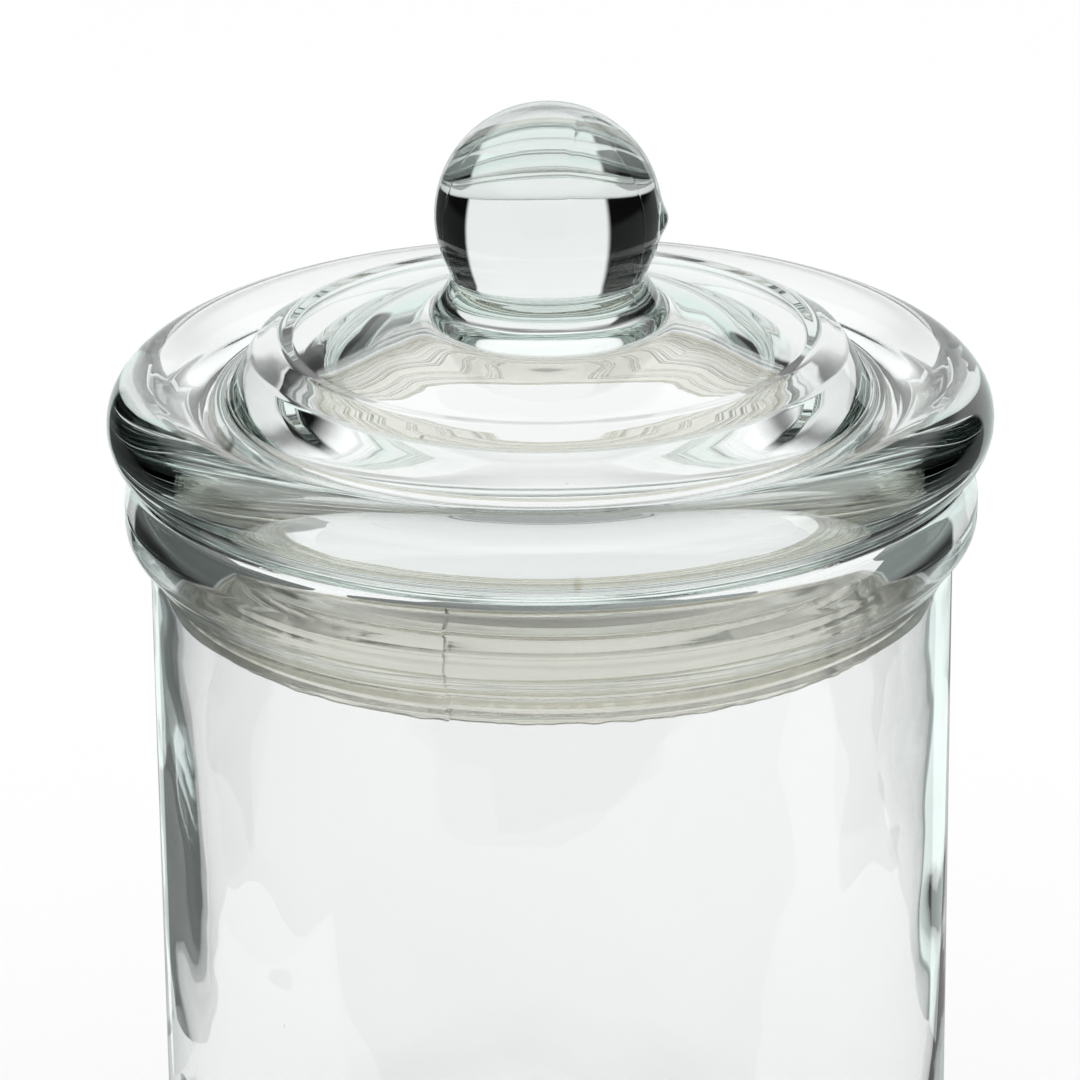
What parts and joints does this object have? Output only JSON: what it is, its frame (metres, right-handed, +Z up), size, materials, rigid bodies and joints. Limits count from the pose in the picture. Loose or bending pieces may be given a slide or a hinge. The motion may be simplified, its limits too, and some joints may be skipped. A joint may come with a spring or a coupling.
{
  "type": "specimen jar",
  "caption": "Straight clear glass jar with a beaded rim and a lift-off pressed glass lid that has a ball knob and a ribbed plastic sealing strip round its plug.",
  "frame": {"origin": "centre of the bottom, on the surface the jar stands on", "axes": "+Z up along the jar's axis; -Y is the side seen in front, where the strip's butt joint is a little to the left"},
  "size_m": [0.1104, 0.1104, 0.1953],
  "materials": {
    "jar_glass": "clear, glossy, very faint green-grey tint, slightly wavy wall",
    "lid_glass": "clear, fire-polished, green-grey where it is thick",
    "seal_plastic": "milky translucent soft plastic, satin, finely ribbed along its length"
  },
  "bodies": {
    "jar": {"jar_body": "jar_glass"},
    "seal": {"sealing_strip": "seal_plastic"},
    "lid": {"lid": "lid_glass", "lid_knob": "lid_glass"}
  },
  "joints": [
    {"name": "lid_lift", "type": "slide", "parent": "jar", "child": "seal", "axis": [0, 0, 1], "range_m": [0, 0.08]},
    {"name": "lid_turn", "type": "hinge", "parent": "seal", "child": "lid", "pos_m": [0, 0, 0.15], "axis": [0, 0, 1], "continuous": true}
  ]
}
